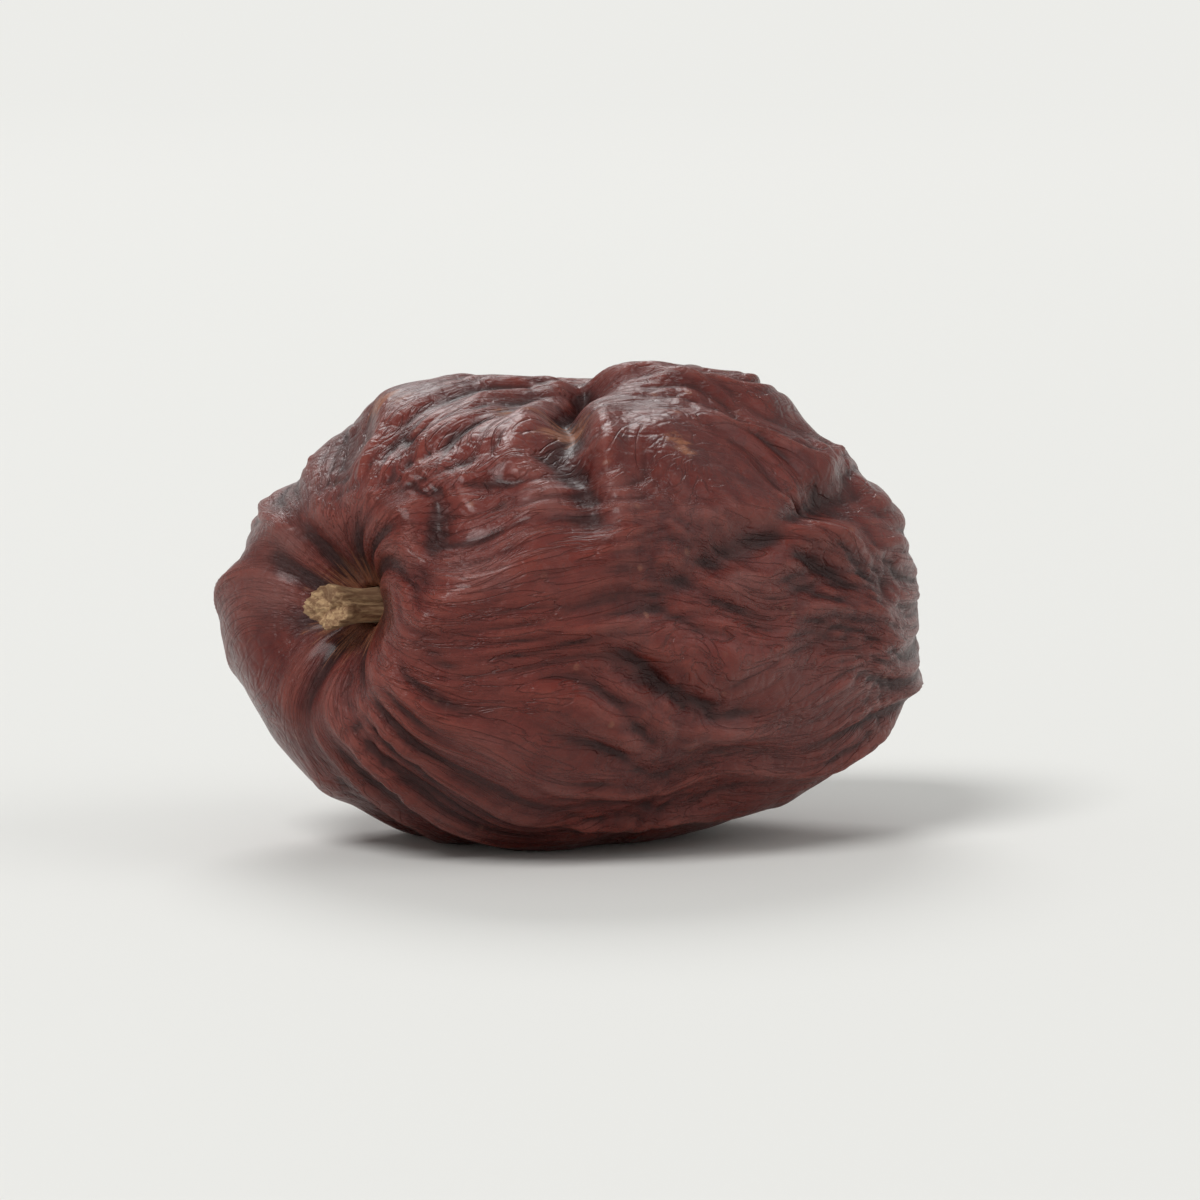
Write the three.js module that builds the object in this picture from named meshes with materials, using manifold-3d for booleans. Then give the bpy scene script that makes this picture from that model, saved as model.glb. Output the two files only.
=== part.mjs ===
// A dried jujube, lying on its side as it rests on a table. Millimetres, +Z up.
// The long axis is X, with the stalk end at -X and the blossom end at +X.
// The origin is on the table, below the middle of the fruit's box.
//
// The fruit dried from a plump oval body. Its skin stayed as large as it was while the flesh shrank, so it
// sank into shallow bowls between ridges, wrinkled along its length, and puckered round the stalk.
// The skin is worked out as a height over the plump body, for every direction from the fruit's middle.

import * as THREE from 'three';
import { mergeVertices } from 'three/addons/utils/BufferGeometryUtils.js';
import Module from 'manifold-3d';

const wasm = await Module();
wasm.setup();

// The plump body: its half sizes, how blunt each end is, and how much fuller the stalk half is.
const HALF_LENGTH = 13.9;
const HALF_WIDTH = 10.3;
const HALF_HEIGHT = 9.8;
const STALK_BLUNTNESS = 2.35;
const BLOSSOM_BLUNTNESS = 1.92;
const STALK_FULLNESS = 0.05;

// The core line from the stalk to the blossom scar leans: its sideways place at each end.
// Close to it, the patterns aren't bent.
const STALK_SHIFT = { y: -2.2, z: 0.6 };
const BLOSSOM_SHIFT = { y: 0.5, z: -0.5 };
const CORE_CALM = 5;

// Bowls: sunken patches that meet in ridges. They are longer along the fruit than across it.
const BOWL_SEED = 20261;
const BOWL_COUNT = 26;
const BOWL_STRETCH = 1.5;
const BOWL_CURVE = 9.0;
const BOWL_DEPTHS = [0.1, 0.55];
const BOWL_SCATTER = { along: 0.1, turn: 0.9 };
const RIDGE_ROUNDING = 0.22;
const BOWL_SHARE = 0.7;

// Larger dents, where a side has collapsed: place, reach and depth.
const DENTS = [
  { along: -4.4, around: 84, reach: 5.5, depth: 1.5 },
  { along: -0.8, around: 94, reach: 3.3, depth: 0.75 },
  { along: -11.4, around: 84, reach: 3.8, depth: 0.9 },
  { along: 11.5, around: 70, reach: 4.1, depth: 0.5 },
  { along: 5.5, around: 20, reach: 4.6, depth: 0.6 },
  { along: -2.0, around: 165, reach: 5.5, depth: 0.9 },
  { along: 6.0, around: 125, reach: 4.1, depth: 0.6 },
  { along: 1.0, around: 215, reach: 4.1, depth: 0.5 },
];

// Creases that are deep enough to see from a step away: three places on their way, width and depth.
// Each has low lips along its sides, fades to its ends, and follows the broad bends in part.
const CREASES = [
  { way: [[-1.1, 96], [-3.3, 60], [-6.0, 18]], width: 0.72, depth: 0.95 },
  { way: [[9.0, 56], [4.4, 32], [-3.2, 6]], width: 0.62, depth: 0.58 },
  { way: [[-10.6, 60], [-9.2, 40], [-10.0, 10]], width: 0.8, depth: 0.3 },
  { way: [[-7.0, -8], [-1.0, -12], [5.5, -26]], width: 0.7, depth: 0.35 },
  { way: [[3.5, 100], [6.5, 84], [10.5, 88]], width: 0.6, depth: 0.4 },
  { way: [[-8.0, 150], [-1.5, 142], [4.0, 158]], width: 0.7, depth: 0.5 },
  { way: [[0.5, 182], [5.0, 196], [9.5, 180]], width: 0.7, depth: 0.4 },
];
const CREASE_BEND = 0.5;
const CREASE_LIPS = 0.3;
const CREASE_FADE = [0.08, 0.92];
const CREASE_STEPS = 16;

// Wrinkles: how many go round the fruit, how much they slant, and how high they stand.
// Waves shorter than the finest vanish, and all get lower where they crowd together near an end.
const FINEST_WAVE = [1.3, 3.0];
const CROWDING = 1.2;
const FOLDS = { seed: 41, count: 12, low: 5, high: 10, slant: 6.5, height: 0.36, rounding: 0.13 };
const WRINKLES = { seed: 43, count: 14, low: 13, high: 20, slant: 13, height: 0.2, rounding: 0.15 };
const WRINKLE_ZONES = [0.3, 1.2];

// Random bends of the pattern: length of the bend and how far it shifts a point. The zones tell smooth skin
// from wrinkled skin.
const BROAD_BEND = { seed: 11, length: 12, shift: 1.0 };
const TIGHT_BEND = { seed: 21, length: 5, shift: 0.22 };
const ZONE = { seed: 31, length: 12 };
const ZONE_SHARPNESS = 1.4;
const WAVE_COUNT = 14;
const WAVE_LENGTHS = [0.65, 1.35];

// The pit that the stalk stands in, and the dimple and scar at the blossom end.
const PIT_DEPTH = 2.9;
const PIT_RADIUS = 2.75;
const PIT_STEEPNESS = 2.3;
const PUCKER_COUNT = 9;
const PUCKER_UNEVENNESS = 1.4;
const PUCKER_DEPTH = 0.38;
const PUCKER_RING = 3.3;
const PUCKER_SPREAD = 1.5;
const DIMPLE_DEPTH = 0.8;
const DIMPLE_RADIUS = 1.8;
const SCAR_HEIGHT = 0.45;
const SCAR_RADIUS = 0.5;

// The stub of the stalk stands in a blind hole in the pit. Both are measured from the middle of the fruit.
// The stub is fluted, narrower above its foot, and torn off at a ragged slant.
const STUB_FOOT = 9.8;
const STUB_TOP = 13.1;
const STUB_RADIUS = 0.85;
const STUB_FLUTES = [
  { count: 3, depth: 0.07, phase: 1, twist: 0 },
  { count: 5, depth: 0.06, phase: 0, twist: 2 },
];
const STUB_WAIST = 0.24;
const STUB_WAIST_END = 1.1;
const STUB_SLANT = 0.35;
const STUB_RAGGEDNESS = 0.4;
const STUB_SIDES = 20;
const STUB_STEPS = 8;
const HOLE_BOTTOM = 9.5;
const HOLE_RADIUS = 1.2;
const HOLE_SIDES = 20;

// The flat spot that the fruit lies on: how far it rises into the plump body, how soft its rim is,
// how much is shaved off to make it truly flat, and the stretch round it where the relief fades.
const SPOT_RISE = 0.42;
const SPOT_ROUNDING = 0.1;
const SPOT_SHAVING = 0.03;
const SPOT_CALM = [2.6, 7.0];
const SPOT_CALMING = 0.75;

// The middle of the fruit's box, which goes over the origin.
const MIDDLE = { x: -0.1, y: -0.35 };

// How finely the skin is divided, and how close corners are when they are one.
const FACETS = 22;
const SAME_PLACE = 1e-5;

// Numbers from 0 to 1 that come out alike on every run, from a linear congruential rule.
function randomSource(seed) {
  let state = seed >>> 0;
  return () => {
    state = (Math.imul(state, 1664525) + 1013904223) >>> 0;
    return state / 4294967296;
  };
}

function smoothstep(low, high, value) {
  const t = Math.min(1, Math.max(0, (value - low) / (high - low)));
  return t * t * (3 - 2 * t);
}

// A smooth random field: the sum of plane waves of about one length in random directions.
function makeWaves(seed, length) {
  const random = randomSource(seed);
  return Array.from({ length: WAVE_COUNT }, () => {
    const up = 2 * random() - 1;
    const turn = 2 * Math.PI * random();
    const across = Math.sqrt(1 - up * up);
    const rate = (2 * Math.PI) / (length * THREE.MathUtils.lerp(...WAVE_LENGTHS, random()));
    const phase = 2 * Math.PI * random();
    return [rate * across * Math.cos(turn), rate * across * Math.sin(turn), rate * up, phase];
  });
}

function waveField(waves, p) {
  let sum = 0;
  for (const [kx, ky, kz, phase] of waves) sum += Math.sin(kx * p.x + ky * p.y + kz * p.z + phase);
  return sum * Math.sqrt(2 / waves.length);
}

// Three fields together shift a point sideways.
function makeBend({ seed, length }) {
  return [0, 1, 2].map((axis) => makeWaves(seed + axis, length));
}

function bendField(bend, p) {
  return new THREE.Vector3(...bend.map((waves) => waveField(waves, p)));
}

// A random field in turns round the core line and latitude, which runs out radially at the ends.
function makeTurns({ seed, count, low, high, slant }) {
  const random = randomSource(seed);
  return Array.from({ length: count }, () => {
    const turns = Math.round(low + (high - low) * random());
    const rate = slant * (2 * random() - 1);
    const phase = 2 * Math.PI * random();
    return [turns, rate, phase];
  });
}

function turnField(list, turn, latitude, ring) {
  const crowding = Math.min(1, (ring / HALF_WIDTH) ** CROWDING);
  let sum = 0;
  for (const [turns, rate, phase] of list) {
    const length = (2 * Math.PI * ring) / turns;
    sum += Math.cos(turns * turn + rate * latitude + phase) * smoothstep(...FINEST_WAVE, length);
  }
  return sum * crowding * Math.sqrt(2 / list.length);
}

const broadBend = makeBend(BROAD_BEND);
const tightBend = makeBend(TIGHT_BEND);
const zoneWaves = makeWaves(ZONE.seed, ZONE.length);
const foldTurns = makeTurns(FOLDS);
const wrinkleTurns = makeTurns(WRINKLES);

// How far the plump body reaches from its middle in a direction.
function bodyReach(d) {
  const taper = 1 - STALK_FULLNESS * d.x;
  const round = Math.hypot(d.y / (HALF_WIDTH * taper), d.z / (HALF_HEIGHT * taper));
  const along = Math.abs(d.x) / HALF_LENGTH;
  const power = STALK_BLUNTNESS + (BLOSSOM_BLUNTNESS - STALK_BLUNTNESS) * smoothstep(-1, 1, d.x);
  return (round ** power + along ** power) ** (-1 / power);
}

// The point of the plump body in a point's direction.
function onBody(point) {
  const d = point.clone().normalize();
  return d.multiplyScalar(bodyReach(d));
}

// A place on the plump body: millimetres along it, and degrees round it from the front (-Y) over the top.
function bodyPlace(along, around) {
  const turn = THREE.MathUtils.degToRad(around);
  const across = Math.sqrt(1 - (along / HALF_LENGTH) ** 2);
  const y = -Math.cos(turn) * across * HALF_WIDTH;
  const z = Math.sin(turn) * across * HALF_HEIGHT;
  return onBody(new THREE.Vector3(along, y, z));
}

const dents = DENTS.map(({ along, around, reach, depth }) => {
  return { at: bodyPlace(along, around), reach, depth };
});

const creases = CREASES.map(({ way, width, depth }) => {
  const curve = new THREE.QuadraticBezierCurve3(...way.map((place) => bodyPlace(...place)));
  return { points: curve.getPoints(CREASE_STEPS).map(onBody), width, depth };
});

// Bowl centres are spread evenly over the body, each moved a little at random.
function makeBowls() {
  const random = randomSource(BOWL_SEED);
  const golden = Math.PI * (3 - Math.sqrt(5));
  return Array.from({ length: BOWL_COUNT }, (_, i) => {
    const along = 1 - (2 * (i + 0.5)) / BOWL_COUNT + BOWL_SCATTER.along * (random() - 0.5);
    const turn = golden * i + BOWL_SCATTER.turn * (random() - 0.5);
    const across = Math.sqrt(Math.max(0, 1 - along * along));
    const at = onBody(new THREE.Vector3(along, across * Math.cos(turn), across * Math.sin(turn)));
    return { at, depth: THREE.MathUtils.lerp(...BOWL_DEPTHS, random()) };
  });
}

const bowls = makeBowls();

// The lowest of the bowls at a point, with the ridges between them rounded off.
function bowlRelief(q) {
  const heights = bowls.map(({ at, depth }) => {
    const far = ((q.x - at.x) / BOWL_STRETCH) ** 2 + (q.y - at.y) ** 2 + (q.z - at.z) ** 2;
    return far / (2 * BOWL_CURVE) - depth;
  });
  const least = Math.min(...heights);
  const sum = heights.reduce((total, height) => total + Math.exp((least - height) / RIDGE_ROUNDING), 0);
  return BOWL_SHARE * (least - RIDGE_ROUNDING * Math.log(sum));
}

// A smooth bump of height 1 in the middle, which has sunk to about a third at its width.
function bump(far, width) {
  return Math.exp(-((far / width) ** 2));
}

function dentRelief(p) {
  return dents.reduce((sum, { at, reach, depth }) => sum - depth * bump(p.distanceTo(at), reach), 0);
}

// A crease is deepest in the middle of its way and runs out at both ends.
function creaseRelief(q) {
  const near = new THREE.Vector3();
  const line = new THREE.Line3();
  let height = 0;
  for (const { points, width, depth } of creases) {
    let least = Infinity;
    let share = 0;
    for (let i = 0; i < points.length - 1; i++) {
      line.set(points[i], points[i + 1]);
      const t = line.closestPointToPointParameter(q, true);
      const far = line.at(t, near).distanceTo(q);
      if (far < least) {
        least = far;
        share = (i + t) / (points.length - 1);
      }
    }
    const strength = depth * Math.sin(Math.PI * THREE.MathUtils.lerp(...CREASE_FADE, share));
    height -= strength * (bump(least, width) - CREASE_LIPS * bump(least - 2 * width, width));
  }
  return height;
}

// How far a wave is from zero, with the sharp turn at zero rounded off.
function roundedSize(wave, rounding) {
  return Math.hypot(wave, rounding) - rounding;
}

// Folds are sharp ridges with rounded valleys. Wrinkles are pillows between sharp valleys, lower in places.
function wrinkleRelief(turn, latitude, ring, zone) {
  const fold = roundedSize(turnField(foldTurns, turn, latitude, ring), FOLDS.rounding);
  const pillow = roundedSize(turnField(wrinkleTurns, turn, latitude, ring), WRINKLES.rounding);
  return -FOLDS.height * fold + WRINKLES.height * pillow * THREE.MathUtils.lerp(...WRINKLE_ZONES, zone);
}

// Where the core line runs at a distance along the fruit.
function coreLine(x) {
  const share = Math.min(1, Math.max(0, (x / HALF_LENGTH + 1) / 2));
  return {
    y: STALK_SHIFT.y + (BLOSSOM_SHIFT.y - STALK_SHIFT.y) * share,
    z: STALK_SHIFT.z + (BLOSSOM_SHIFT.z - STALK_SHIFT.z) * share,
  };
}

function stalkEndRelief(turn, ring) {
  const pit = -PIT_DEPTH * Math.exp(-((ring / PIT_RADIUS) ** PIT_STEEPNESS));
  const puckers = 0.5 + 0.5 * Math.cos(PUCKER_COUNT * turn + PUCKER_UNEVENNESS * Math.sin(2 * turn + 1));
  return pit - PUCKER_DEPTH * puckers * bump(ring - PUCKER_RING, PUCKER_SPREAD);
}

function blossomEndRelief(ring) {
  return SCAR_HEIGHT * bump(ring, SCAR_RADIUS) - DIMPLE_DEPTH * bump(ring, DIMPLE_RADIUS);
}

// The dried skin's height over the plump body, at a point of that body.
function skinRelief(p) {
  const broad = bendField(broadBend, p);
  const tight = bendField(tightBend, p);
  const q = p.clone().addScaledVector(broad, BROAD_BEND.shift).addScaledVector(tight, TIGHT_BEND.shift);
  const core = coreLine(p.x);
  const trueRing = Math.hypot(p.y - core.y, p.z - core.z);
  const calm = smoothstep(0, CORE_CALM, trueRing);
  const y = p.y - core.y + calm * (q.y - p.y);
  const z = p.z - core.z + calm * (q.z - p.z);
  const ring = Math.hypot(y, z);
  const turn = Math.atan2(z, y);
  const latitude = Math.atan2(q.x / HALF_LENGTH, ring / HALF_WIDTH);
  const zone = 0.5 + 0.5 * Math.tanh(ZONE_SHARPNESS * waveField(zoneWaves, p));
  const bent = p.clone().addScaledVector(broad, CREASE_BEND * BROAD_BEND.shift);
  bent.addScaledVector(tight, TIGHT_BEND.shift);
  const hollows = bowlRelief(q) + dentRelief(p) + creaseRelief(onBody(bent));
  const ends = p.x < 0 ? stalkEndRelief(turn, trueRing) : blossomEndRelief(trueRing);
  const height = hollows + wrinkleRelief(turn, latitude, ring, zone) + ends;
  const calmed = p.z < 0 ? 1 - smoothstep(...SPOT_CALM, Math.hypot(p.x, p.y)) : 0;
  return height * (1 - SPOT_CALMING * calmed);
}

// The flat spot: the skin never sinks below the table, and comes down to it in a soft curve.
function settle(z) {
  const over = (z + HALF_HEIGHT - SPOT_RISE) / SPOT_ROUNDING;
  return SPOT_RISE - HALF_HEIGHT + SPOT_ROUNDING * Math.log1p(Math.exp(over));
}

function skinPoint(direction) {
  const p = onBody(direction);
  const point = p.clone().setLength(p.length() + skinRelief(p));
  point.z = settle(point.z);
  return point;
}

// A closed geometry as a solid that can be joined and cut, and back.
function solidOf(geometry) {
  const bare = geometry.clone();
  bare.deleteAttribute('normal');
  bare.deleteAttribute('uv');
  const merged = mergeVertices(bare, SAME_PLACE);
  const vertProperties = Float32Array.from(merged.attributes.position.array);
  const triVerts = Uint32Array.from(merged.index.array);
  return new wasm.Manifold(new wasm.Mesh({ numProp: 3, vertProperties, triVerts }));
}

function geometryOf(solid) {
  const { vertProperties, triVerts } = solid.getMesh();
  const geometry = new THREE.BufferGeometry();
  geometry.setAttribute('position', new THREE.BufferAttribute(vertProperties, 3));
  geometry.setIndex(new THREE.BufferAttribute(triVerts, 1));
  geometry.computeVertexNormals();
  return geometry;
}

// Moves every corner of a geometry to where the rule puts it.
function reshape(geometry, rule) {
  const position = geometry.attributes.position;
  const corner = new THREE.Vector3();
  for (let i = 0; i < position.count; i++) {
    const { x, y, z } = rule(corner.fromBufferAttribute(position, i));
    position.setXYZ(i, x, y, z);
  }
  return geometry;
}

const stalkAxis = new THREE.Vector3(-HALF_LENGTH, STALK_SHIFT.y, STALK_SHIFT.z).normalize();
const stalkTurn = new THREE.Quaternion().setFromUnitVectors(new THREE.Vector3(0, 1, 0), stalkAxis);
const tableHeight = SPOT_RISE - HALF_HEIGHT + SPOT_SHAVING;

function holeGeometry() {
  const length = HALF_LENGTH - HOLE_BOTTOM;
  return new THREE.CylinderGeometry(HOLE_RADIUS, HOLE_RADIUS, length, HOLE_SIDES)
    .applyQuaternion(stalkTurn)
    .translate(...stalkAxis.clone().multiplyScalar(HOLE_BOTTOM + length / 2).toArray());
}

function belowTableGeometry() {
  return new THREE.BoxGeometry(4 * HALF_LENGTH, 4 * HALF_WIDTH, HALF_HEIGHT)
    .translate(0, 0, tableHeight - HALF_HEIGHT / 2);
}

function fruitGeometry() {
  const skin = solidOf(reshape(new THREE.IcosahedronGeometry(1, FACETS), skinPoint));
  return geometryOf(skin.subtract(solidOf(holeGeometry())).subtract(solidOf(belowTableGeometry())));
}

function stubPoint({ x, y, z }, height) {
  const share = y / height + 0.5;
  const turn = Math.atan2(z, x);
  let size = 1 - STUB_WAIST * Math.sin(Math.PI * Math.min(1, STUB_WAIST_END * share));
  const waves = STUB_FLUTES.map(({ count, depth, phase, twist }) => {
    return depth * Math.cos(count * turn + phase + twist * share);
  });
  size *= waves.reduce((sum, wave) => sum + wave, 1);
  const torn = STUB_SLANT * smoothstep(0.5, 1, share) * (x + STUB_RAGGEDNESS * Math.cos(3 * turn));
  return { x: x * size, y: y + torn, z: z * size };
}

function stubGeometry() {
  const height = STUB_TOP - STUB_FOOT;
  const rod = new THREE.CylinderGeometry(STUB_RADIUS, STUB_RADIUS, height, STUB_SIDES, STUB_STEPS);
  return reshape(rod, (corner) => stubPoint(corner, height));
}

const skinMaterial = new THREE.MeshStandardMaterial({ color: 0x6a2a24, roughness: 0.4, metalness: 0 });
const fruit = new THREE.Mesh(fruitGeometry(), skinMaterial);
fruit.name = 'fruit';

const woodMaterial = new THREE.MeshStandardMaterial({ color: 0xa98a66, roughness: 0.85, metalness: 0 });
const stub = new THREE.Mesh(stubGeometry(), woodMaterial);
stub.name = 'stalk_stub';
stub.quaternion.copy(stalkTurn);
stub.position.copy(stalkAxis).multiplyScalar((STUB_FOOT + STUB_TOP) / 2);

const jujube = new THREE.Group();
jujube.add(fruit, stub);
jujube.position.set(-MIDDLE.x, -MIDDLE.y, -tableHeight);

export default jujube;
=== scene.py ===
"""A dried jujube lying on its side on a pale floor, with the dry stub of its stalk.

The fruit is the frame's fruit made finer. It repeats the same plump body, bowls, dents, creases, folds and
wrinkles, in millimetres and from the same seeds, and adds the small wrinkles that only a fine mesh can hold.
The skin is worked out as a height over the plump body, for every direction from the fruit's middle.
"""

import math

import bpy
import numpy as np
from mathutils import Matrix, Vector


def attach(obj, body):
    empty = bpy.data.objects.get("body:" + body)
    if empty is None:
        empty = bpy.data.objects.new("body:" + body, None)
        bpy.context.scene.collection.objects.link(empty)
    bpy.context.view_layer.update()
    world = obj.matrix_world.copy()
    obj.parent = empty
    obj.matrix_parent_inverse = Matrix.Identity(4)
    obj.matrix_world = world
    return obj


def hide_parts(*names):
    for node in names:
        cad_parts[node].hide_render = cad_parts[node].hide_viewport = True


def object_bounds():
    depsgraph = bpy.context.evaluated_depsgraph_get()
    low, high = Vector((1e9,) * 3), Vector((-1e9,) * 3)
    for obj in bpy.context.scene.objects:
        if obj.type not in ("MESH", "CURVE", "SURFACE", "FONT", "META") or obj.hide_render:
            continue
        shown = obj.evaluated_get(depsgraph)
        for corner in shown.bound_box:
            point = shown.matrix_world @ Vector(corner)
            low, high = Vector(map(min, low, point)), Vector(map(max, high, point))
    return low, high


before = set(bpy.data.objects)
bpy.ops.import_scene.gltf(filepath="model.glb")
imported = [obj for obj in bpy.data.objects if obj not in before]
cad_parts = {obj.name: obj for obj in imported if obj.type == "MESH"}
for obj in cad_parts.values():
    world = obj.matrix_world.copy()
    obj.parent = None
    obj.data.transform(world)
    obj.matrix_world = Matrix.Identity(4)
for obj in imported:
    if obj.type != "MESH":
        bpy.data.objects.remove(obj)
cad_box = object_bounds()

MM = 0.001

# The plump body: its half sizes, how blunt each end is, and how much fuller the stalk half is.
HALF_LENGTH = 13.9
HALF_WIDTH = 10.3
HALF_HEIGHT = 9.8
STALK_BLUNTNESS = 2.35
BLOSSOM_BLUNTNESS = 1.92
STALK_FULLNESS = 0.05

# The core line from the stalk to the blossom scar leans: its y and z at each end.
# Close to it, the patterns aren't bent.
STALK_SHIFT = np.array([-2.2, 0.6])
BLOSSOM_SHIFT = np.array([0.5, -0.5])
CORE_CALM = 5.0

# Bowls: sunken patches that meet in ridges. They are longer along the fruit than across it.
BOWL_SEED = 20261
BOWL_COUNT = 26
BOWL_STRETCH = 1.5
BOWL_CURVE = 9.0
BOWL_DEPTHS = (0.1, 0.55)
BOWL_SCATTER_ALONG = 0.1
BOWL_SCATTER_TURN = 0.9
RIDGE_ROUNDING = 0.22
BOWL_SHARE = 0.7

# Larger dents: millimetres along the fruit, degrees round it from the front over the top, reach and depth.
DENTS = [
    (-4.4, 84, 5.5, 1.5),
    (-0.8, 94, 3.3, 0.75),
    (-11.4, 84, 3.8, 0.9),
    (11.5, 70, 4.1, 0.5),
    (5.5, 20, 4.6, 0.6),
    (-2.0, 165, 5.5, 0.9),
    (6.0, 125, 4.1, 0.6),
    (1.0, 215, 4.1, 0.5),
]

# Creases: three places on their way, width and depth.
# Each has low lips along its sides, fades to its ends, and follows the broad bends in part.
CREASES = [
    ([(-1.1, 96), (-3.3, 60), (-6.0, 18)], 0.72, 0.95),
    ([(9.0, 56), (4.4, 32), (-3.2, 6)], 0.62, 0.58),
    ([(-10.6, 60), (-9.2, 40), (-10.0, 10)], 0.8, 0.3),
    ([(-7.0, -8), (-1.0, -12), (5.5, -26)], 0.7, 0.35),
    ([(3.5, 100), (6.5, 84), (10.5, 88)], 0.6, 0.4),
    ([(-8.0, 150), (-1.5, 142), (4.0, 158)], 0.7, 0.5),
    ([(0.5, 182), (5.0, 196), (9.5, 180)], 0.7, 0.4),
]
CREASE_BEND = 0.5
CREASE_LIPS = 0.3
CREASE_FADE = (0.08, 0.92)
CREASE_STEPS = 16

# Wrinkles: how many go round the fruit, how much they slant, and how high they stand.
# Waves shorter than the finest vanish, and all get lower where they crowd together near an end.
FINEST_WAVE = (1.3, 3.0)
CROWDING = 1.2
FOLDS = dict(seed=41, count=12, low=5, high=10, slant=6.5, height=0.36, rounding=0.13)
WRINKLES = dict(seed=43, count=14, low=13, high=20, slant=13, height=0.2, rounding=0.15)
WRINKLE_ZONES = (0.3, 1.2)

# Random bends of the pattern: length of the bend and how far it shifts a point.
# The zones tell smooth skin from wrinkled skin.
BROAD_BEND = dict(seed=11, length=12.0, shift=1.0)
TIGHT_BEND = dict(seed=21, length=5.0, shift=0.22)
ZONE = dict(seed=31, length=12.0)
ZONE_SHARPNESS = 1.4
WAVE_COUNT = 14
WAVE_LENGTHS = (0.65, 1.35)

# The pit that the stalk stands in, and the dimple and scar at the blossom end.
PIT_DEPTH = 2.9
PIT_RADIUS = 2.75
PIT_STEEPNESS = 2.3
PUCKER_COUNT = 9
PUCKER_UNEVENNESS = 1.4
PUCKER_DEPTH = 0.38
PUCKER_RING = 3.3
PUCKER_SPREAD = 1.5
DIMPLE_DEPTH = 0.8
DIMPLE_RADIUS = 1.8
SCAR_HEIGHT = 0.45
SCAR_RADIUS = 0.5

# The skin sinks round the foot of the stub, from the outer of these rings to the inner one.
HOLE_RIM = (0.8, 1.05)
HOLE_DEPTH = 1.4

# The flat spot that the fruit lies on: how far it rises into the plump body, how soft its rim is,
# how much is shaved off to make it truly flat, and the stretch round it where the relief fades.
SPOT_RISE = 0.42
SPOT_ROUNDING = 0.1
SPOT_SHAVING = 0.03
SPOT_CALM = (2.6, 7.0)
SPOT_CALMING = 0.75

# The middle of the fruit's box, which goes over the origin, and the table's height from the fruit's middle.
MIDDLE = (-0.1, -0.35)
TABLE = SPOT_RISE - HALF_HEIGHT + SPOT_SHAVING

# Only in this finer fruit: how finely the skin is divided, small wrinkles, and a faint net in some places.
SKIN_STEPS = 124
FINE_WAVE = (0.45, 1.1)
FINE_WRINKLES = dict(seed=47, count=16, low=26, high=44, slant=24, height=0.085, rounding=0.18)
FINE_ZONES = (0.35, 1.0)
NET = dict(seed=61, length=1.5)
NET_HEIGHT = 0.055
NET_ROUNDING = 0.2
NET_ZONE = dict(seed=71, length=7.0)
NET_ZONE_EDGES = (-0.4, 1.0)

# Stands in for the distance from the core line in the half of the fruit that an end's marks don't reach.
FAR_AWAY = 99.0

# The finish goes by how high the skin stands over its surroundings: how often the heights are averaged with
# their neighbours', and the height difference that counts as full. Ridges are broad, and lines are fine.
# From these come the painted shade in creases and grooves and the painted highlight on raised lines.
RIDGE_ROUNDS = (6, 120)
RIDGE_FULL = 0.28
LINE_ROUNDS = 16
LINE_FULL = 0.09

# Patches with russet streaks: millimetres along the fruit, degrees round it, and reach.
RUSSET_PATCHES = [
    (-4.2, 62, 1.6),
    (-5.6, 74, 1.2),
    (-0.6, 44, 0.9),
    (-8.5, 100, 1.4),
    (4.0, 160, 1.3),
    (8.5, 120, 1.2),
]

# The stub of the stalk. Its foot in the pit and its torn top are measured from the middle of the fruit.
STUB_FOOT = 9.8
STUB_TOP = 13.1
STUB_RADIUS = 0.85
STUB_WAIST = 0.24
STUB_WAIST_END = 1.1
STUB_SLANT = 0.35
STUB_SLANT_START = 0.5
STUB_RAGGEDNESS = 0.4
STUB_SIDES = 72
STUB_STEPS = 40

# Waves round the stub: how many, their depth, phase, twist along the stub, and how unevenly they are spread.
STUB_FLUTES = [(3, 0.07, 1, 0, 0), (5, 0.06, 0, 2, 0)]
STUB_FIBRES = [(17, 0.03, 0, 2.5, 1.2), (29, 0.02, 0, -3, 0)]
UNEVEN_PLACES = 4

# Splinters at the torn end, and the rings that close it in a slight hollow.
SPLINTER_SEED = 81
SPLINTER_HEIGHT = 0.22
SPLINTER_START = 0.9
END_RINGS = (0.93, 0.8, 0.6, 0.4, 0.2)
END_HOLLOW = 0.18


def random_source(seed):
    """Numbers from 0 to 1 that come out alike on every run, from a linear congruential rule."""
    state = seed
    while True:
        state = (state * 1664525 + 1013904223) % 2**32
        yield state / 2**32


def smoothstep(low, high, value):
    t = np.clip((value - low) / (high - low), 0, 1)
    return t * t * (3 - 2 * t)


def lerp(pair, share):
    return pair[0] + (pair[1] - pair[0]) * share


def bump(far, width):
    """A smooth bump of height 1 in the middle, which has sunk to about a third at its width."""
    return np.exp(-((far / width) ** 2))


def length_of(points):
    return np.linalg.norm(points, axis=-1)


def unit(points):
    points = np.asarray(points, float)
    return points / length_of(points)[..., None]


def make_waves(seed, length):
    """Plane waves of about one length in random directions, as rates and phases."""
    draw = random_source(seed)
    rates, phases = [], []
    for _ in range(WAVE_COUNT):
        up = 2 * next(draw) - 1
        turn = 2 * math.pi * next(draw)
        across = math.sqrt(1 - up * up)
        rate = 2 * math.pi / (length * lerp(WAVE_LENGTHS, next(draw)))
        phases.append(2 * math.pi * next(draw))
        rates.append([rate * across * math.cos(turn), rate * across * math.sin(turn), rate * up])
    return np.array(rates), np.array(phases)


def wave_field(points, seed, length):
    """A smooth random field: the sum of the waves at each point."""
    rates, phases = make_waves(seed, length)
    return np.sin(points @ rates.T + phases).sum(-1) * math.sqrt(2 / WAVE_COUNT)


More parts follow.
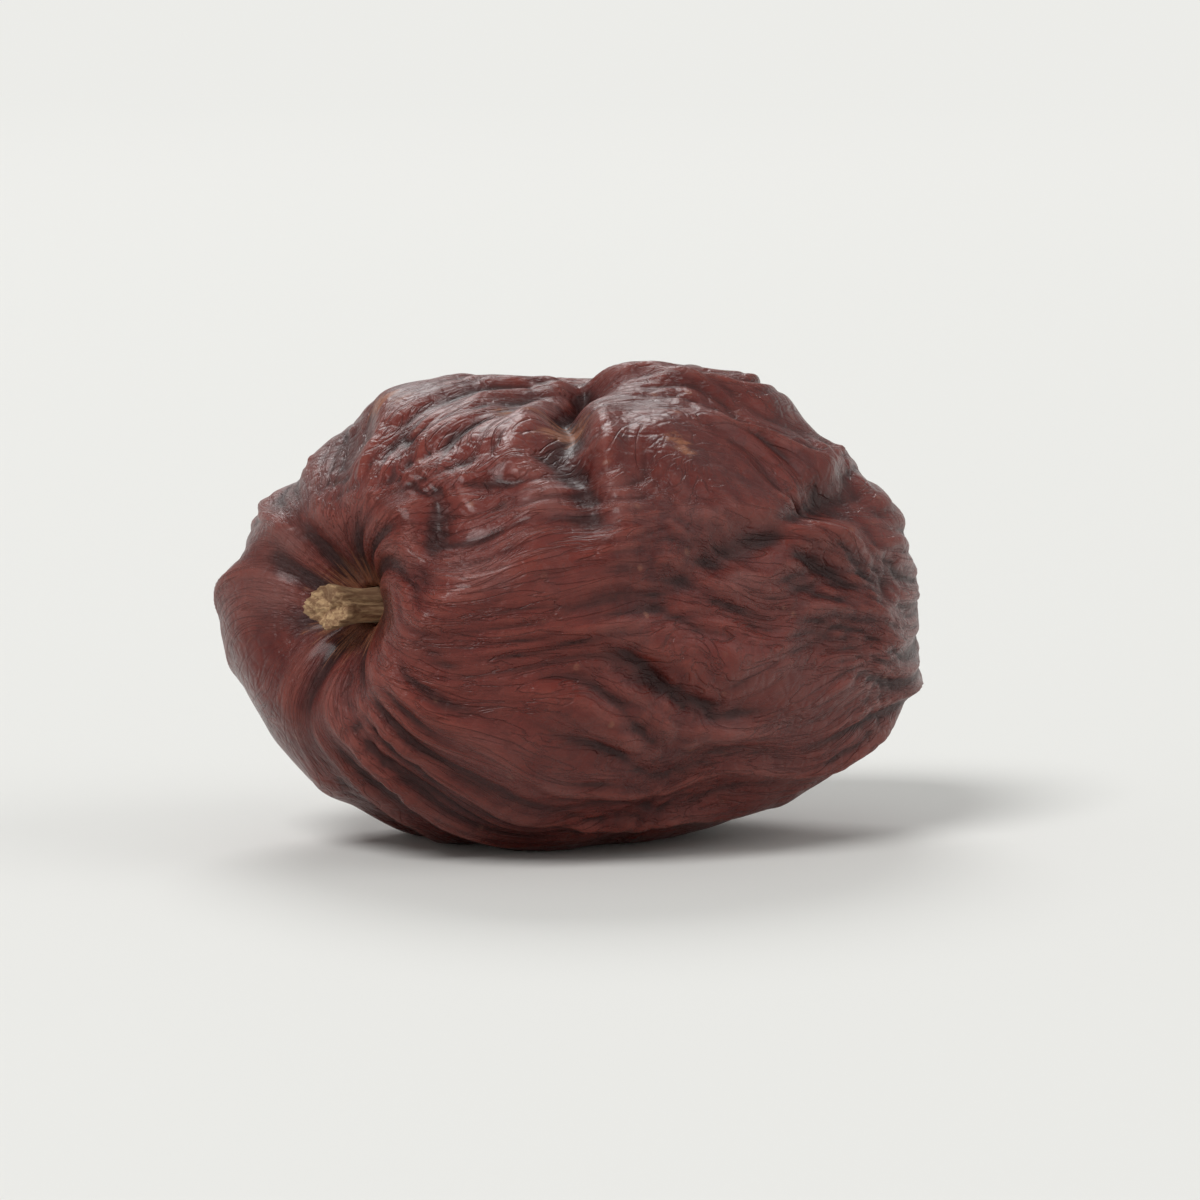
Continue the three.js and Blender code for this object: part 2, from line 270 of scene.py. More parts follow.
def bend_field(points, seed, length, shift):
    """How far each point is shifted sideways by three fields."""
    return shift * np.stack([wave_field(points, seed + axis, length) for axis in range(3)], -1)


def turn_field(waves, finest, turn, latitude, ring):
    """A random field in turns round the core line and latitude, which runs out radially at the ends."""
    draw = random_source(waves["seed"])
    total = 0
    for _ in range(waves["count"]):
        turns = round(lerp((waves["low"], waves["high"]), next(draw)))
        rate = waves["slant"] * (2 * next(draw) - 1)
        phase = 2 * math.pi * next(draw)
        wave = np.cos(turns * turn + rate * latitude + phase)
        total = total + wave * smoothstep(*finest, 2 * math.pi * ring / turns)
    crowding = np.minimum(1, (ring / HALF_WIDTH) ** CROWDING)
    return total * crowding * math.sqrt(2 / waves["count"])


def rounded_size(wave, rounding):
    """How far a wave is from zero, with the sharp turn at zero rounded off."""
    return np.hypot(wave, rounding) - rounding


def turn_relief(waves, finest, place):
    """Pillows between sharp valleys that run along the fruit."""
    return waves["height"] * rounded_size(turn_field(waves, finest, *place), waves["rounding"])


def body_reach(d):
    """How far the plump body reaches from its middle in each direction."""
    x, y, z = np.moveaxis(d, -1, 0)
    taper = 1 - STALK_FULLNESS * x
    across = np.hypot(y / (HALF_WIDTH * taper), z / (HALF_HEIGHT * taper))
    along = np.abs(x) / HALF_LENGTH
    power = lerp((STALK_BLUNTNESS, BLOSSOM_BLUNTNESS), smoothstep(-1, 1, x))
    return (across**power + along**power) ** (-1 / power)


def on_body(points):
    d = unit(points)
    return d * body_reach(d)[..., None]


def body_place(along, around):
    """A place on the plump body, from millimetres along it and degrees round it."""
    turn = math.radians(around)
    across = math.sqrt(1 - (along / HALF_LENGTH) ** 2)
    return on_body([along, -math.cos(turn) * across * HALF_WIDTH, math.sin(turn) * across * HALF_HEIGHT])


def bowl_relief(q):
    """The lowest of the bowls at each point, with the ridges between them rounded off."""
    draw = random_source(BOWL_SEED)
    golden = math.pi * (3 - math.sqrt(5))
    heights = []
    for i in range(BOWL_COUNT):
        along = 1 - 2 * (i + 0.5) / BOWL_COUNT + BOWL_SCATTER_ALONG * (next(draw) - 0.5)
        turn = golden * i + BOWL_SCATTER_TURN * (next(draw) - 0.5)
        across = math.sqrt(max(0, 1 - along * along))
        depth = lerp(BOWL_DEPTHS, next(draw))
        at = on_body([along, across * math.cos(turn), across * math.sin(turn)])
        far = (((q - at) / (BOWL_STRETCH, 1, 1)) ** 2).sum(-1)
        heights.append(far / (2 * BOWL_CURVE) - depth)
    least = np.min(heights, axis=0)
    total = np.exp((least - heights) / RIDGE_ROUNDING).sum(0)
    return BOWL_SHARE * (least - RIDGE_ROUNDING * np.log(total))


def dent_relief(p):
    return -sum(depth * bump(length_of(p - body_place(along, around)), reach)
                for along, around, reach, depth in DENTS)


def crease_relief(q):
    """A crease is deepest in the middle of its way and runs out at both ends, between low lips."""
    height = 0
    for way, width, depth in CREASES:
        a, b, c = (body_place(*place) for place in way)
        t = np.linspace(0, 1, CREASE_STEPS + 1)[:, None]
        points = on_body((1 - t) ** 2 * a + 2 * t * (1 - t) * b + t * t * c)
        least = np.full(len(q), np.inf)
        share = np.zeros(len(q))
        for i, (start, end) in enumerate(zip(points, points[1:])):
            step = end - start
            along = np.clip((q - start) @ step / (step @ step), 0, 1)
            far = length_of(q - start - along[:, None] * step)
            share = np.where(far < least, (i + along) / CREASE_STEPS, share)
            least = np.minimum(least, far)
        strength = depth * np.sin(math.pi * lerp(CREASE_FADE, share))
        height = height - strength * (bump(least, width) - CREASE_LIPS * bump(least - 2 * width, width))
    return height


def wrinkle_relief(place, zone):
    """Folds are sharp ridges with rounded valleys. Wrinkles are pillows, lower in places."""
    wrinkles = turn_relief(WRINKLES, FINEST_WAVE, place) * lerp(WRINKLE_ZONES, zone)
    return wrinkles - turn_relief(FOLDS, FINEST_WAVE, place)


def fine_relief(p, q, place, zone):
    """Small wrinkles, and in some places a faint net."""
    wrinkles = turn_relief(FINE_WRINKLES, FINE_WAVE, place) * lerp(FINE_ZONES, zone)
    net = NET_HEIGHT * rounded_size(wave_field(q, **NET), NET_ROUNDING)
    return wrinkles + net * smoothstep(*NET_ZONE_EDGES, wave_field(p, **NET_ZONE))


def stalk_end_relief(turn, ring):
    pit = -PIT_DEPTH * np.exp(-((ring / PIT_RADIUS) ** PIT_STEEPNESS))
    puckers = 0.5 + 0.5 * np.cos(PUCKER_COUNT * turn + PUCKER_UNEVENNESS * np.sin(2 * turn + 1))
    return pit - PUCKER_DEPTH * puckers * bump(ring - PUCKER_RING, PUCKER_SPREAD)


def blossom_end_relief(ring):
    return SCAR_HEIGHT * bump(ring, SCAR_RADIUS) - DIMPLE_DEPTH * bump(ring, DIMPLE_RADIUS)


def from_core_line(p):
    """The way to each point from the core line, as y and z."""
    share = np.clip((p[:, 0] / HALF_LENGTH + 1) / 2, 0, 1)[:, None]
    return p[:, 1:] - lerp((STALK_SHIFT, BLOSSOM_SHIFT), share)


def skin_fields(p):
    """The dried skin's height over the plump body at its points p, and what its finish goes by."""
    broad = bend_field(p, **BROAD_BEND)
    tight = bend_field(p, **TIGHT_BEND)
    q = p + broad + tight
    across = from_core_line(p)
    true_ring = length_of(across)
    y, z = (across + smoothstep(0, CORE_CALM, true_ring)[:, None] * (q - p)[:, 1:]).T
    ring = np.hypot(y, z)
    turn = np.arctan2(z, y)
    latitude = np.arctan2(q[:, 0] / HALF_LENGTH, ring / HALF_WIDTH)
    place = (turn, latitude, ring)
    zone = 0.5 + 0.5 * np.tanh(ZONE_SHARPNESS * wave_field(p, **ZONE))

    hollows = bowl_relief(q) + dent_relief(p) + crease_relief(on_body(p + CREASE_BEND * broad + tight))
    ends = np.where(p[:, 0] < 0, stalk_end_relief(turn, true_ring), blossom_end_relief(true_ring))
    height = hollows + wrinkle_relief(place, zone) + ends + fine_relief(p, q, place, zone)
    calmed = np.where(p[:, 2] < 0, 1 - smoothstep(*SPOT_CALM, length_of(p[:, :2])), 0)
    stalk_ring = np.where(p[:, 0] < 0, true_ring, FAR_AWAY)
    hole = HOLE_DEPTH * (1 - smoothstep(*HOLE_RIM, stalk_ring))
    return height * (1 - SPOT_CALMING * calmed) - hole, {
        "stalk_ring": stalk_ring,
        "blossom_ring": np.where(p[:, 0] > 0, true_ring, FAR_AWAY),
        "way": np.stack([np.cos(turn), np.sin(turn), latitude], -1),
    }


def settle(z):
    """The flat spot: the skin comes down to the table in a soft curve, and never sinks below it."""
    over = (z + HALF_HEIGHT - SPOT_RISE) / SPOT_ROUNDING
    return np.maximum(SPOT_RISE - HALF_HEIGHT + SPOT_ROUNDING * np.logaddexp(0, over), TABLE)


def cube_sphere(steps):
    """Directions and outward quads of a cube whose faces are divided evenly, drawn out to a ball."""
    i, j = np.meshgrid(np.arange(steps + 1), np.arange(steps + 1), indexing="ij")
    grids = []
    for axis in range(3):
        for side in (0, steps):
            grid = np.empty((steps + 1, steps + 1, 3), int)
            grid[..., axis] = side
            grid[..., (axis + 1) % 3] = i if side else j
            grid[..., (axis + 2) % 3] = j if side else i
            grids.append(grid)
    corners, index = np.unique(np.array(grids).reshape(-1, 3), axis=0, return_inverse=True)
    index = index.reshape(6, steps + 1, steps + 1)
    quads = np.stack([index[:, :-1, :-1], index[:, 1:, :-1], index[:, 1:, 1:], index[:, :-1, 1:]], -1)
    return unit(np.tan((2 * corners / steps - 1) * math.pi / 4)), quads.reshape(-1, 4)


def to_row_frame(points):
    """From millimetres round the fruit's middle to the frame's metres."""
    return (points - (*MIDDLE, TABLE)) * MM


def spread_out(values, edges, rounds):
    """Averages values with their neighbours' along the edges, round after round."""
    a, b = np.concatenate([edges, edges[:, ::-1]]).T
    count = np.bincount(a, minlength=len(values))
    for _ in range(rounds):
        values = 0.5 * values + 0.5 * np.bincount(a, values[b], len(values)) / count
    return values


def relief_fields(height, quads):
    """How high the skin stands over its surroundings, from -1 to 1: broadly, and in fine lines."""
    # Two sides of every quad are all the edges of the closed skin, each one once.
    edges = np.concatenate([quads[:, :2], quads[:, 1:3]])
    near = spread_out(height, edges, RIDGE_ROUNDS[0])
    ridge = near - spread_out(near, edges, RIDGE_ROUNDS[1])
    line = height - spread_out(height, edges, LINE_ROUNDS)
    return {"ridge": np.clip(ridge / RIDGE_FULL, -1, 1), "line": np.clip(line / LINE_FULL, -1, 1)}


def russet_field(p):
    """How far each point of the plump body lies in a russet patch, from 0 to 1."""
    patches = sum(bump(length_of(p - body_place(along, around)), reach)
                  for along, around, reach in RUSSET_PATCHES)
    return np.clip(patches, 0, 1)


def mesh_piece(name, points, faces):
    mesh = bpy.data.meshes.new(name)
    mesh.from_pydata(points.tolist(), [], faces)
    mesh.shade_smooth()
    piece = bpy.data.objects.new(name, mesh)
    bpy.context.scene.collection.objects.link(piece)
    return piece


def ring_faces(rings, sides):
    """Quads between rings of points, and one face across the first ring."""
    faces = [
        [r * sides + i, (r + 1) * sides + i, (r + 1) * sides + (i + 1) % sides, r * sides + (i + 1) % sides]
        for r in range(rings - 1) for i in range(sides)
    ]
    return faces + [list(range(sides))]


def add_field(piece, name, values):
    """Stores a value or a vector for each vertex, for the material to read."""
    kind, key = ("FLOAT", "value") if values.ndim == 1 else ("FLOAT_VECTOR", "vector")
    field = piece.data.attributes.new(name, kind, "POINT")
    field.data.foreach_set(key, values.astype(np.float32).ravel())


def make_fruit():
    directions, quads = cube_sphere(SKIN_STEPS)
    plump = directions * body_reach(directions)[:, None]
    height, fields = skin_fields(plump)
    skin = directions * (length_of(plump) + height)[:, None]
    skin[:, 2] = settle(skin[:, 2])
    fruit = mesh_piece("fruit_skin", to_row_frame(skin), quads.tolist())
    fields = {**fields, **relief_fields(height, quads), "russet": russet_field(plump)}
    for name, values in fields.items():
        add_field(fruit, name, values)
    return fruit


def stub_turn():
    """The shortest turn that takes the stub's own +Y to the stalk's axis."""
    axis = Vector((-HALF_LENGTH, *STALK_SHIFT)).normalized()
    return np.array(Vector((0, 1, 0)).rotation_difference(axis).to_matrix())


def waves_round(waves, turn, share):
    """A size of about 1 that goes up and down round the stub, at a share of the way along it."""
    return 1 + sum(
        depth * np.cos(count * turn + phase + twist * share + uneven * np.sin(UNEVEN_PLACES * turn))
        for count, depth, phase, twist, uneven in waves
    )


def stub_points():
    """Rings of points up the stub, fluted, fibrous and narrower above its foot, and over its torn end."""
    rings = [(step / STUB_STEPS, 1.0) for step in range(STUB_STEPS + 1)]
    rings += [(1.0, shrink) for shrink in END_RINGS]
    share, shrink = np.array(rings).T[..., None]
    turn = np.arange(STUB_SIDES) * 2 * math.pi / STUB_SIDES
    draw = random_source(SPLINTER_SEED)
    splinters = SPLINTER_HEIGHT * (np.array([next(draw) for _ in range(STUB_SIDES)]) - 0.5)

    x = STUB_RADIUS * np.cos(turn) * shrink
    z = STUB_RADIUS * np.sin(turn) * shrink
    size = waves_round(STUB_FLUTES, turn, share) * waves_round(STUB_FIBRES, turn, share)
    size = size * (1 - STUB_WAIST * np.sin(math.pi * np.minimum(1, STUB_WAIST_END * share)))
    torn = STUB_SLANT * smoothstep(STUB_SLANT_START, 1, share) * (x + STUB_RAGGEDNESS * np.cos(3 * turn))
    torn = torn + splinters * smoothstep(SPLINTER_START, 1, share) * shrink
    y = lerp((STUB_FOOT, STUB_TOP), share) + torn - END_HOLLOW * (1 - shrink)
    return np.stack([x * size, y, z * size], -1)


def make_stub():
    points = stub_points()
    last_ring = (len(points) - 1) * STUB_SIDES
    faces = ring_faces(len(points), STUB_SIDES)
    faces.append([last_ring + i for i in reversed(range(STUB_SIDES))])
    points = points.reshape(-1, 3)
    stub = mesh_piece("dry_stub", to_row_frame(points @ stub_turn().T), faces)
    add_field(stub, "way", points)
    return stub


def feed(tree, socket, value):
    """Gives a socket a value, or links it to the socket that its value comes from."""
    if isinstance(value, bpy.types.NodeSocket):
        tree.links.new(value, socket)
    else:
        socket.default_value = value


def node(tree, kind, inputs=None, **settings):
    """Adds a shader node. An input is a value, or the socket that it comes from."""
    made = tree.nodes.new("ShaderNode" + kind)
    for key, value in settings.items():
        setattr(made, key, value)
    for key, value in (inputs or {}).items():
        feed(tree, made.inputs[key], value)
    return made


def math_node(tree, operation, *values):
    return node(tree, "Math", dict(enumerate(values)), operation=operation).outputs[0]


def times(tree, a, b):
    return math_node(tree, "MULTIPLY", a, b)


def plus_times(tree, start, a, b):
    """start + a * b"""
    return math_node(tree, "MULTIPLY_ADD", a, b, start)


def ramp(tree, value, span, result=(0.0, 1.0)):
    """Maps value from the span to the result along a smooth curve."""
    values = {
        "Value": value,
        "From Min": span[0],
        "From Max": span[1],
        "To Min": result[0],
        "To Max": result[1],
    }
    return node(tree, "MapRange", values, interpolation_type="SMOOTHSTEP").outputs["Result"]


def blend_colours(tree, share, low, high):
    made = node(tree, "Mix", data_type="RGBA")
    for key, value in (("Factor", share), ("A", low), ("B", high)):
        feed(tree, next(s for s in made.inputs if s.name == key and s.enabled), value)
    return next(s for s in made.outputs if s.enabled)


def read_field(tree, name, output="Fac"):
    return node(tree, "Attribute", attribute_name=name).outputs[output]


def object_place(tree):
    return node(tree, "TexCoord").outputs["Object"]


def noise(tree, vector, scale=1.0, detail=2.0, roughness=0.5, distortion=0.0):
    values = {
        "Vector": vector,
        "Scale": scale,
        "Detail": detail,
        "Roughness": roughness,
        "Distortion": distortion,
    }
    return node(tree, "TexNoise", values).outputs["Fac"]


def grown_noise(tree, fineness, **settings):
    """Noise over a piece's stored way, with a fineness for each of its three directions."""
    way = read_field(tree, "way", "Vector")
    stretched = node(tree, "Mapping", {"Vector": way, "Scale": fineness}, vector_type="POINT")
    return noise(tree, stretched.outputs["Vector"], **settings)


def cells(tree, vector, scale, feature):
    """The distance to the middles of random cells, or to their edges."""
    return node(tree, "TexVoronoi", {"Vector": vector, "Scale": scale}, feature=feature).outputs["Distance"]


def new_material(name):
    material = bpy.data.materials.new(name)
    material.use_nodes = True
    material.node_tree.nodes.clear()
    return material, material.node_tree


# How high a relief of 1 stands in the bump, in metres.
BUMP_HEIGHT = 0.0001


def finish_surface(tree, relief, strength, inputs):
    """Ends a material in a Principled shader, with a relief for its bump."""
    bumps = node(tree, "Bump", {"Height": relief, "Distance": BUMP_HEIGHT, "Strength": strength})
    shader = node(tree, "BsdfPrincipled", {"Normal": bumps.outputs["Normal"], **inputs})
    node(tree, "OutputMaterial", {"Surface": shader.outputs["BSDF"]})


# Noise and cells over the skin. The scale is how many fit in a metre, and the span goes from no mark to a
# full one.
GRAIN = dict(scale=2600, detail=3, roughness=0.6)
BLOTCHES = dict(scale=170, detail=4, roughness=0.55, distortion=0.4)
BLOTCHES_SPAN = (0.32, 0.68)
MOTTLE = dict(scale=1100, detail=5, roughness=0.65)
MOTTLE_SPAN = (0.35, 0.7)
# Waxy bloom, pale and rough, which is stronger on the ridges, where it is also a painted sheen.
BLOOM_AND_SHEEN = dict(scale=260, detail=5, roughness=0.6)
BLOOM_AND_SHEEN_SPAN = (0.42, 0.72)
SPECKS = dict(scale=560, feature="F1")
SPECKS_SPAN = (0.11, 0.05)
SKIN_NET = dict(scale=1500, feature="DISTANCE_TO_EDGE")
SKIN_NET_SPAN = (0.0, 0.22)

# Noise that is drawn out along the fruit. Of its fineness, two numbers go round the fruit and one along it.
# Branches show where their noise is near its middle, and streaks gain in the russet patches.
THREADS = dict(fineness=(40, 40, 14), detail=4, roughness=0.62, distortion=0.8)
BRANCHES = dict(fineness=(14, 14, 6), detail=3, distortion=0.9)
BRANCHES_MIDDLE = 0.5
BRANCHES_SPAN = (0.05, 0.0)
STREAKS = dict(fineness=(24, 24, 6), detail=4, roughness=0.65, distortion=0.5)
STREAKS_SPAN = (0.7, 0.88)
STREAKS_IN_PATCHES = 0.34

# Marks that follow a stored field, and the span of it from no mark to a full one.
FIELD_MARKS = {
    # Painted shade: the crease mark darkens the skin where it lies low among the broad ridges.
    "crease": ("ridge", (-0.1, -0.9)),
    # Painted shade: the groove mark darkens the fine low lines, and also makes them rougher.
    "groove": ("line", (0.0, -0.9)),
    # Painted highlight: the skin is lighter on the raised fine lines.
    "painted_line_highlight": ("line", (0.05, 0.7)),
}

# Rings round the core line, in millimetres, from no mark to a full one.
STALK_RUSSET_RING = (3.4, 1.2)
SCAR_RING = (1.15, 0.6)
SCAR_DOT_RING = (0.55, 0.25)
SCAR_RAGGEDNESS = 0.45

# Marks that are weaker where a guide is low: the span of the guide, and the shares of the mark at its ends.
WRINKLES_BY_BLOTCHES = ((0.0, 1.0), (0.35, 1.0))
SCAR_BY_GRAIN = ((0.3, 0.6), (0.3, 0.9))
SPECKS_BY_MOTTLE = ((0.2, 0.9), (0.1, 0.45))
BLOOM_AND_SHEEN_BY_RIDGE = ((-0.2, 0.6), (0.06, 0.28))

# The skin's colour: broad blotches from deep mahogany to a warmer red-brown, and the marks that are laid
# over them in turn, each with how strongly it shows. The dark layers in the creases, grooves and
# thin wrinkles are painted shade, the light layer on raised lines is a painted highlight,
# and the pale bloom is waxy bloom with a painted sheen on the ridges.
DEEP_MAHOGANY = (0.058, 0.0076, 0.0066, 1)
WARM_RED_BROWN = (0.121, 0.0178, 0.0128, 1)
COLOUR_LAYERS = [
    ("mottle", 0.45, (0.16, 0.032, 0.022, 1)),
    # Painted shade, dark in the creases.
    ("crease", 0.5, (0.019, 0.003, 0.003, 1)),
    # Painted shade, dark in the fine grooves.
    ("groove", 0.72, (0.015, 0.0025, 0.0025, 1)),
    # Painted highlight, light on the raised fine lines.
    ("painted_line_highlight", 0.38, (0.22, 0.05, 0.035, 1)),
    # Painted shade, dark in the thin wrinkles, which are also cut into the bump.
    ("thin_wrinkles", 0.2, (0.02, 0.0035, 0.0035, 1)),
    ("russet", 0.75, (0.27, 0.1, 0.047, 1)),
    ("scar", 1.0, (0.19, 0.074, 0.042, 1)),
    ("scar_dot", 1.0, (0.03, 0.012, 0.008, 1)),
    ("specks", 1.0, (0.24, 0.1, 0.06, 1)),
    # Waxy bloom, with a painted sheen where it gathers on the ridges.
    ("bloom_and_sheen", 1.0, (0.21, 0.105, 0.095, 1)),
]

# The skin's roughness follows the grain, and these marks add to it.
GRAIN_ROUGHNESS = ((0.3, 0.7), (0.27, 0.4))
ADDED_ROUGHNESS = {"bloom_and_sheen": 0.45, "russet": 0.2, "groove": 0.144}

# The skin's bump: threads along the fruit, pores, a net of finer wrinkles, and thin wrinkles cut into it.
SKIN_RELIEF = {"threads": 1.0, "grain": 0.35, "net": 0.3, "thin_wrinkles": -0.9}
SKIN_BUMP = 0.75
SKIN_GLOSS = {
    "Subsurface Weight": 0.08,
    "Subsurface Radius": (1.0, 0.3, 0.2),
    "Subsurface Scale": 0.0006,
    "Specular IOR Level": 0.25,
    "Coat Weight": 0.12,
    "Coat Roughness": 0.16,
}


def weakened(tree, mark, guide, spans):
    """A mark that is weaker where its guide is low."""
    return times(tree, mark, ramp(tree, guide, *spans))


def thin_wrinkles(tree, blotches):
    """Thin wrinkles branch along the fruit where the noise is near its middle, most in warm blotches."""
    from_middle = math_node(tree, "SUBTRACT", grown_noise(tree, **BRANCHES), BRANCHES_MIDDLE)
    lines = ramp(tree, math_node(tree, "ABSOLUTE", from_middle), BRANCHES_SPAN)
    return weakened(tree, lines, blotches, WRINKLES_BY_BLOTCHES)


def russet(tree):
    """Russet streaks run along the fruit in a few patches and round the stalk."""
    near_stalk = ramp(tree, read_field(tree, "stalk_ring"), STALK_RUSSET_RING)
    patches = math_node(tree, "MAXIMUM", read_field(tree, "russet"), near_stalk)
    streaks = plus_times(tree, grown_noise(tree, **STREAKS), patches, STREAKS_IN_PATCHES)
    return ramp(tree, streaks, STREAKS_SPAN)


def skin_marks(tree):
    """How strongly each mark shows at a point of the skin, from 0 to 1."""
    place = object_place(tree)
    marks = {name: ramp(tree, read_field(tree, field), span) for name, (field, span) in FIELD_MARKS.items()}
    marks["grain"] = noise(tree, place, **GRAIN)
    marks["threads"] = grown_noise(tree, **THREADS)
    marks["net"] = ramp(tree, cells(tree, place, **SKIN_NET), SKIN_NET_SPAN)
    marks["blotches"] = ramp(tree, noise(tree, place, **BLOTCHES), BLOTCHES_SPAN)
    marks["mottle"] = ramp(tree, noise(tree, place, **MOTTLE), MOTTLE_SPAN)
    marks["thin_wrinkles"] = thin_wrinkles(tree, marks["blotches"])
    marks["russet"] = russet(tree)

    ring = plus_times(tree, read_field(tree, "blossom_ring"), marks["mottle"], SCAR_RAGGEDNESS)
    marks["scar"] = weakened(tree, ramp(tree, ring, SCAR_RING), marks["grain"], SCAR_BY_GRAIN)
    marks["scar_dot"] = ramp(tree, ring, SCAR_DOT_RING)
    specks = ramp(tree, cells(tree, place, **SPECKS), SPECKS_SPAN)
    marks["specks"] = weakened(tree, specks, marks["mottle"], SPECKS_BY_MOTTLE)
    # Waxy bloom, stronger on the ridges, where it is also a painted sheen.
    bloom_and_sheen = ramp(tree, noise(tree, place, **BLOOM_AND_SHEEN), BLOOM_AND_SHEEN_SPAN)
    marks["bloom_and_sheen"] = weakened(tree, bloom_and_sheen, read_field(tree, "ridge"), BLOOM_AND_SHEEN_BY_RIDGE)
    return marks


def weighted_sum(tree, start, marks, weights):
    """The sum of start and of each named mark times its weight."""
    total = start
    for name, weight in weights.items():
        total = plus_times(tree, total, marks[name], weight)
    return total


def skin_material():
    material, tree = new_material("dried_skin")
    marks = skin_marks(tree)
    colour = blend_colours(tree, marks["blotches"], DEEP_MAHOGANY, WARM_RED_BROWN)
    for name, strength, layer in COLOUR_LAYERS:
        colour = blend_colours(tree, times(tree, marks[name], strength), colour, layer)
    rough = weighted_sum(tree, ramp(tree, marks["grain"], *GRAIN_ROUGHNESS), marks, ADDED_ROUGHNESS)
    relief = weighted_sum(tree, 0.0, marks, SKIN_RELIEF)
    finish_surface(tree, relief, SKIN_BUMP, {"Base Color": colour, "Roughness": rough, **SKIN_GLOSS})
    return material


# The stub's dry wood: fibres that run along it, dirty in patches. Fineness is across, along and across.
WOOD_FIBRES = dict(fineness=(5.5, 0.8, 5.5), detail=4, roughness=0.65)
WOOD_FIBRES_SPAN = (0.35, 0.7)
WOOD_DARK = (0.17, 0.085, 0.04, 1)
WOOD_LIGHT = (0.46, 0.3, 0.16, 1)
DIRT = dict(fineness=(1.2, 0.9, 1.2), detail=3)
DIRT_SPAN = (0.45, 0.65)
DIRT_STRENGTH = 0.55
DIRT_COLOUR = (0.13, 0.06, 0.03, 1)
WOOD_ROUGHNESS = 0.82
WOOD_BUMP = 0.6


def wood_material():
    material, tree = new_material("dry_stalk")
    fibres = grown_noise(tree, **WOOD_FIBRES)
    colour = blend_colours(tree, ramp(tree, fibres, WOOD_FIBRES_SPAN), WOOD_DARK, WOOD_LIGHT)
    dirt = ramp(tree, grown_noise(tree, **DIRT), DIRT_SPAN)
    colour = blend_colours(tree, times(tree, dirt, DIRT_STRENGTH), colour, DIRT_COLOUR)
    finish_surface(tree, fibres, WOOD_BUMP, {"Base Color": colour, "Roughness": WOOD_ROUGHNESS})
    return material


# The stage, in metres: a round floor that lies a hair below the fruit and curves up at its rim, and the
# distances from the fruit at which it starts to glow and glows in full.
FLOOR_RADIUS = 1.2
FLOOR_CURVE = 0.3
FLOOR_SIDES = 128
FLOOR_STEPS = 12
FLOOR_DROP = 0.00002
FLOOR_COLOUR = (0.69, 0.69, 0.668, 1)
FLOOR_ROUGHNESS = 0.75
FAR_COLOUR = (0.84, 0.84, 0.812, 1)
FAR_FROM_FRUIT = (0.4, 1.0)


def stage_material():
    """A matt floor, which glows evenly far from the fruit, so that no shadow marks its rim."""
    material, tree = new_material("pale_floor")
    material.cycles.emission_sampling = "NONE"
    matt = node(tree, "BsdfPrincipled", {"Base Color": FLOOR_COLOUR, "Roughness": FLOOR_ROUGHNESS})
    glow = node(tree, "Emission", {"Color": FAR_COLOUR})
    distance = node(tree, "VectorMath", {0: object_place(tree)}, operation="LENGTH").outputs["Value"]
    share = ramp(tree, distance, FAR_FROM_FRUIT)
    surface = node(tree, "MixShader", {0: share, 1: matt.outputs["BSDF"], 2: glow.outputs["Emission"]})
    node(tree, "OutputMaterial", {"Surface": surface.outputs["Shader"]})
    return material


def make_stage():
    """A pale round floor that curves up at its rim on every side."""
    profile = [(FLOOR_RADIUS / 2, 0.0)]
    for step in range(FLOOR_STEPS + 1):
        rise = math.radians(90 * step / FLOOR_STEPS)
        profile.append((FLOOR_RADIUS + FLOOR_CURVE * math.sin(rise), FLOOR_CURVE * (1 - math.cos(rise))))
    turns = [2 * math.pi * i / FLOOR_SIDES for i in range(FLOOR_SIDES)]
    points = [(r * math.cos(turn), r * math.sin(turn), z - FLOOR_DROP) for r, z in profile for turn in turns]
    floor = mesh_piece("floor", np.array(points), ring_faces(len(profile), FLOOR_SIDES))
    floor.data.materials.append(stage_material())


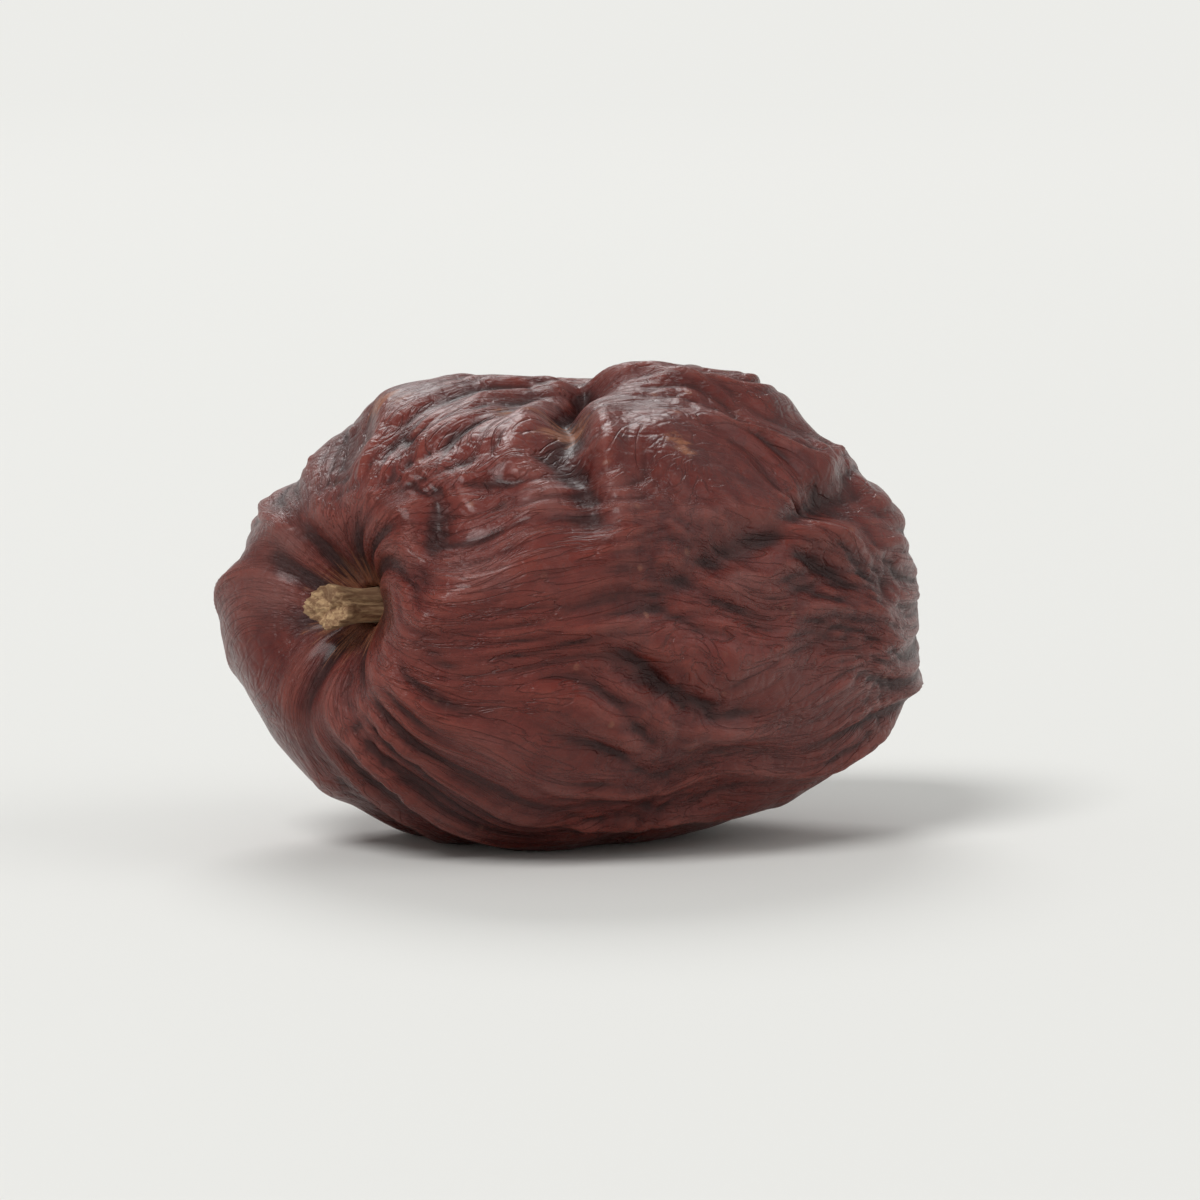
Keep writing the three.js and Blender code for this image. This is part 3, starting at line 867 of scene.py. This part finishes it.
# Soft lights: the azimuth and elevation that each comes from, how wide an angle it fills, and its strength.
LIGHTS = {
    "key": (-62, 48, 24, 2.1),
    "fill": (48, 34, 40, 0.5),
    "back": (160, 42, 28, 1.0),
}
SKY_COLOUR = (1, 1, 0.98, 1)
SKY_STRENGTH = 0.35


def direction(azimuth, elevation):
    """The way to a viewer or a light: azimuth 0 is the front, -Y, and 90 is +X."""
    turn, rise = math.radians(azimuth), math.radians(elevation)
    return Vector((math.sin(turn) * math.cos(rise), -math.cos(turn) * math.cos(rise), math.sin(rise)))


def looking_along(way):
    return way.to_track_quat("-Z", "Y").to_euler()


def make_lights():
    """Lights that are far away, so that they light the floor evenly, and a faint sky."""
    for name, (azimuth, elevation, width, strength) in LIGHTS.items():
        lamp = bpy.data.lights.new(name, "SUN")
        lamp.angle = math.radians(width)
        lamp.energy = strength
        light = bpy.data.objects.new(name, lamp)
        light.rotation_euler = looking_along(-direction(azimuth, elevation))
        bpy.context.scene.collection.objects.link(light)
    world = bpy.data.worlds.new("soft_sky")
    world.use_nodes = True
    sky = world.node_tree.nodes["Background"].inputs
    sky["Color"].default_value = SKY_COLOUR
    sky["Strength"].default_value = SKY_STRENGTH
    bpy.context.scene.world = world


# The camera: its direction from the fruit in degrees, its lens in millimetres, how far it stands from the
# fruit, and the nearest and farthest that it sees, in metres.
AZIMUTH = -28
ELEVATION = 6
LENS = 200
DISTANCE = 0.262
NEAREST = 0.01
FARTHEST = 20


def make_camera(target):
    camera = bpy.data.objects.new("camera", bpy.data.cameras.new("camera"))
    camera.data.lens = LENS
    camera.data.clip_start = NEAREST
    camera.data.clip_end = FARTHEST
    back = direction(AZIMUTH, ELEVATION)
    camera.location = target + back * DISTANCE
    camera.rotation_euler = looking_along(-back)
    bpy.context.scene.collection.objects.link(camera)
    bpy.context.scene.camera = camera


fruit = make_fruit()
fruit.data.materials.append(skin_material())
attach(fruit, "root")
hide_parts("fruit")

stub = make_stub()
stub.data.materials.append(wood_material())
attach(stub, "root")
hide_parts("stalk_stub")

make_stage()
make_lights()
make_camera((cad_box[0] + cad_box[1]) / 2)
bpy.context.scene.view_settings.view_transform = "Standard"
